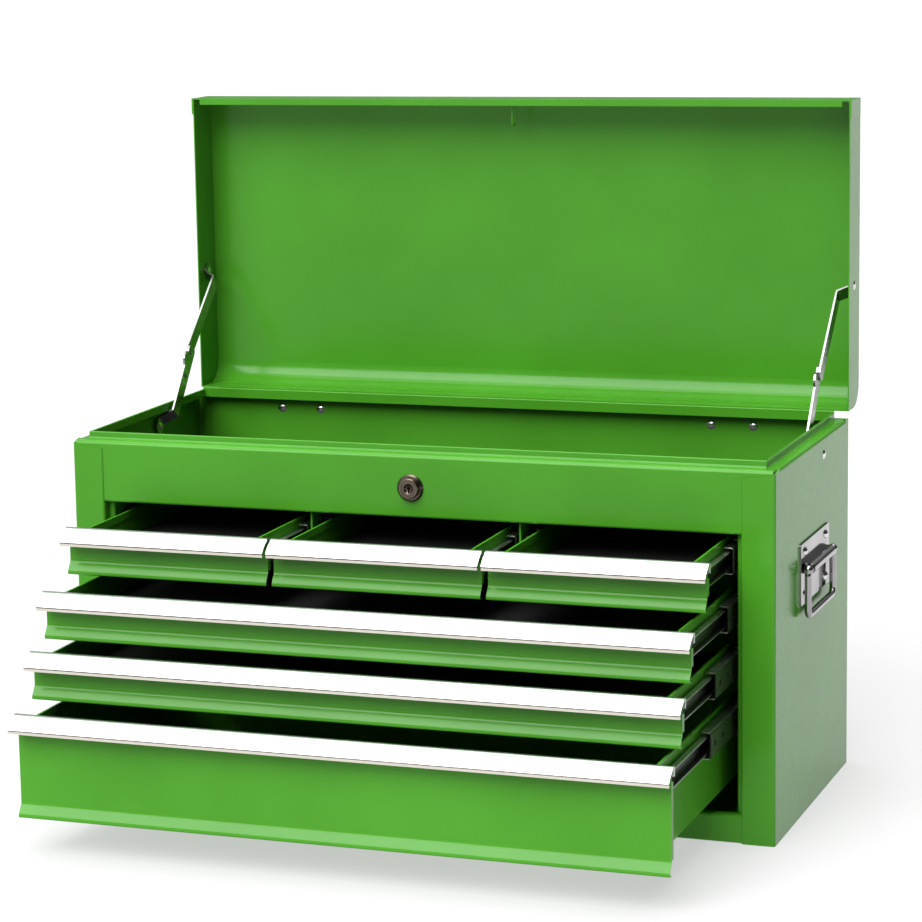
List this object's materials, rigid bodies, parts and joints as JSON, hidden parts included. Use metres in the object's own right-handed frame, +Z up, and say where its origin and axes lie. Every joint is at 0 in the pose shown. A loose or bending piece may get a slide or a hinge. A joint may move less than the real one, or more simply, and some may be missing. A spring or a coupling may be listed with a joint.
{
  "type": "top tool chest",
  "caption": "Sheet steel top chest: lift-up lid on folding stays over a till, small drawers above wide ones on ball slides, drop handles at the sides and a front lock.",
  "frame": {"origin": "centre of the underside of the cabinet, which stands on z = 0", "axes": "+X across the width towards the chest's right as seen from the front, +Y from the front towards the back, +Z up"},
  "size_m": [0.6206, 0.501, 0.567],
  "materials": {
    "green_paint": "gloss powder coat",
    "black_rubber": "matte",
    "bright_aluminium": "polished",
    "zinc_steel": "bright zinc plate",
    "bright_chrome": "polished",
    "dark_bronze": "dark bronze plate"
  },
  "bodies": {
    "cabinet": {"back_panel": "green_paint", "base_panel": "green_paint", "lock_rail": "green_paint", "sill_rail": "green_paint", "till_floor": "green_paint", "till_liner": "black_rubber", "hinge_body_leaves": "zinc_steel", "lock_housing": "dark_bronze", "cabinet_rivets": "zinc_steel", "cabinet_slides": "zinc_steel", "side_panel_left": "green_paint", "slide_frame_left": "green_paint", "divider_left": "green_paint", "handle_plate_left": "bright_chrome", "side_panel_right": "green_paint", "slide_frame_right": "green_paint", "divider_right": "green_paint", "handle_plate_right": "bright_chrome"},
    "lid": {"lid_shell": "green_paint", "latch_loop": "green_paint", "hinge_lid_leaves": "zinc_steel", "lid_rivets": "zinc_steel"},
    "lock": {"lock_plug": "dark_bronze", "lock_cam": "zinc_steel"},
    "stay_lower_left": {"stay_lower_left": "zinc_steel"},
    "stay_upper_left": {"stay_upper_left": "zinc_steel"},
    "bail_left": {"bail_left": "bright_chrome"},
    "stay_lower_right": {"stay_lower_right": "zinc_steel"},
    "stay_upper_right": {"stay_upper_right": "zinc_steel"},
    "bail_right": {"bail_right": "bright_chrome"},
    "drawer_top_left": {"drawer_top_left_box": "green_paint", "drawer_top_left_pull": "bright_aluminium", "drawer_top_left_liner": "black_rubber", "drawer_top_left_runners": "zinc_steel"},
    "drawer_top_left_mid": {"drawer_top_left_mid_slides": "zinc_steel"},
    "drawer_top_middle": {"drawer_top_middle_box": "green_paint", "drawer_top_middle_pull": "bright_aluminium", "drawer_top_middle_liner": "black_rubber", "drawer_top_middle_runners": "zinc_steel"},
    "drawer_top_middle_mid": {"drawer_top_middle_mid_slides": "zinc_steel"},
    "drawer_top_right": {"drawer_top_right_box": "green_paint", "drawer_top_right_pull": "bright_aluminium", "drawer_top_right_liner": "black_rubber", "drawer_top_right_runners": "zinc_steel"},
    "drawer_top_right_mid": {"drawer_top_right_mid_slides": "zinc_steel"},
    "drawer_second": {"drawer_second_box": "green_paint", "drawer_second_pull": "bright_aluminium", "drawer_second_liner": "black_rubber", "drawer_second_runners": "zinc_steel"},
    "drawer_second_mid": {"drawer_second_mid_slides": "zinc_steel"},
    "drawer_third": {"drawer_third_box": "green_paint", "drawer_third_pull": "bright_aluminium", "drawer_third_liner": "black_rubber", "drawer_third_runners": "zinc_steel"},
    "drawer_third_mid": {"drawer_third_mid_slides": "zinc_steel"},
    "drawer_bottom": {"drawer_bottom_box": "green_paint", "drawer_bottom_pull": "bright_aluminium", "drawer_bottom_liner": "black_rubber", "drawer_bottom_runners": "zinc_steel"},
    "drawer_bottom_mid": {"drawer_bottom_mid_slides": "zinc_steel"}
  },
  "joints": [
    {"name": "lid_hinge", "type": "hinge", "parent": "cabinet", "child": "lid", "pos_m": [0, 0.1345, 0.3015], "axis": [1, 0, 0], "range_deg": [0, 90]},
    {"name": "lock_turn", "type": "hinge", "parent": "cabinet", "child": "lock", "pos_m": [0, -0.113, 0.273], "axis": [0, -1, 0], "range_deg": [0, 90]},
    {"name": "stay_lower_left_pivot", "type": "hinge", "parent": "cabinet", "child": "stay_lower_left", "pos_m": [-0.297, 0.036, 0.285], "axis": [1, 0, 0], "range_deg": [-60.5, 0]},
    {"name": "stay_upper_left_pivot", "type": "hinge", "parent": "lid", "child": "stay_upper_left", "pos_m": [-0.297, 0.153, 0.41], "axis": [1, 0, 0], "range_deg": [0, 19.4]},
    {"name": "bail_left_swing", "type": "hinge", "parent": "cabinet", "child": "bail_left", "pos_m": [-0.3059, 0, 0.205], "axis": [0, 1, 0], "range_deg": [0, 90]},
    {"name": "stay_lower_right_pivot", "type": "hinge", "parent": "cabinet", "child": "stay_lower_right", "pos_m": [0.297, 0.036, 0.285], "axis": [1, 0, 0], "range_deg": [-60.5, 0]},
    {"name": "stay_upper_right_pivot", "type": "hinge", "parent": "lid", "child": "stay_upper_right", "pos_m": [0.297, 0.153, 0.41], "axis": [1, 0, 0], "range_deg": [0, 19.4]},
    {"name": "bail_right_swing", "type": "hinge", "parent": "cabinet", "child": "bail_right", "pos_m": [0.3059, 0, 0.205], "axis": [0, -1, 0], "range_deg": [0, 90]},
    {"name": "drawer_top_left_slide", "type": "slide", "parent": "cabinet", "child": "drawer_top_left", "axis": [0, -1, 0], "range_m": [-0.079, 0.146]},
    {"name": "drawer_top_left_mid_slide", "type": "slide", "parent": "cabinet", "child": "drawer_top_left_mid", "axis": [0, -1, 0], "range_m": [-0.02, 0.03697]},
    {"name": "drawer_top_middle_slide", "type": "slide", "parent": "cabinet", "child": "drawer_top_middle", "axis": [0, -1, 0], "range_m": [-0.079, 0.146]},
    {"name": "drawer_top_middle_mid_slide", "type": "slide", "parent": "cabinet", "child": "drawer_top_middle_mid", "axis": [0, -1, 0], "range_m": [-0.02, 0.03697]},
    {"name": "drawer_top_right_slide", "type": "slide", "parent": "cabinet", "child": "drawer_top_right", "axis": [0, -1, 0], "range_m": [-0.079, 0.146]},
    {"name": "drawer_top_right_mid_slide", "type": "slide", "parent": "cabinet", "child": "drawer_top_right_mid", "axis": [0, -1, 0], "range_m": [-0.02, 0.03697]},
    {"name": "drawer_second_slide", "type": "slide", "parent": "cabinet", "child": "drawer_second", "axis": [0, -1, 0], "range_m": [-0.125, 0.1]},
    {"name": "drawer_second_mid_slide", "type": "slide", "parent": "cabinet", "child": "drawer_second_mid", "axis": [0, -1, 0], "range_m": [-0.036, 0.0288]},
    {"name": "drawer_third_slide", "type": "slide", "parent": "cabinet", "child": "drawer_third", "axis": [0, -1, 0], "range_m": [-0.151, 0.074]},
    {"name": "drawer_third_mid_slide", "type": "slide", "parent": "cabinet", "child": "drawer_third_mid", "axis": [0, -1, 0], "range_m": [-0.0755, 0.037]},
    {"name": "drawer_bottom_slide", "type": "slide", "parent": "cabinet", "child": "drawer_bottom", "axis": [0, -1, 0], "range_m": [-0.182, 0.043]},
    {"name": "drawer_bottom_mid_slide", "type": "slide", "parent": "cabinet", "child": "drawer_bottom_mid", "axis": [0, -1, 0], "range_m": [-0.091, 0.0215]}
  ],
  "couplings": [
    {"joint": "stay_lower_left_pivot", "follows": "lid_hinge", "ratio": -0.6714},
    {"joint": "stay_upper_left_pivot", "follows": "lid_hinge", "ratio": 0.2155},
    {"joint": "stay_lower_right_pivot", "follows": "lid_hinge", "ratio": -0.6714},
    {"joint": "stay_upper_right_pivot", "follows": "lid_hinge", "ratio": 0.2155},
    {"joint": "drawer_top_left_mid_slide", "follows": "drawer_top_left_slide", "ratio": 0.2532},
    {"joint": "drawer_top_middle_mid_slide", "follows": "drawer_top_middle_slide", "ratio": 0.2532},
    {"joint": "drawer_top_right_mid_slide", "follows": "drawer_top_right_slide", "ratio": 0.2532},
    {"joint": "drawer_second_mid_slide", "follows": "drawer_second_slide", "ratio": 0.288},
    {"joint": "drawer_third_mid_slide", "follows": "drawer_third_slide", "ratio": 0.5},
    {"joint": "drawer_bottom_mid_slide", "follows": "drawer_bottom_slide", "ratio": 0.5}
  ]
}
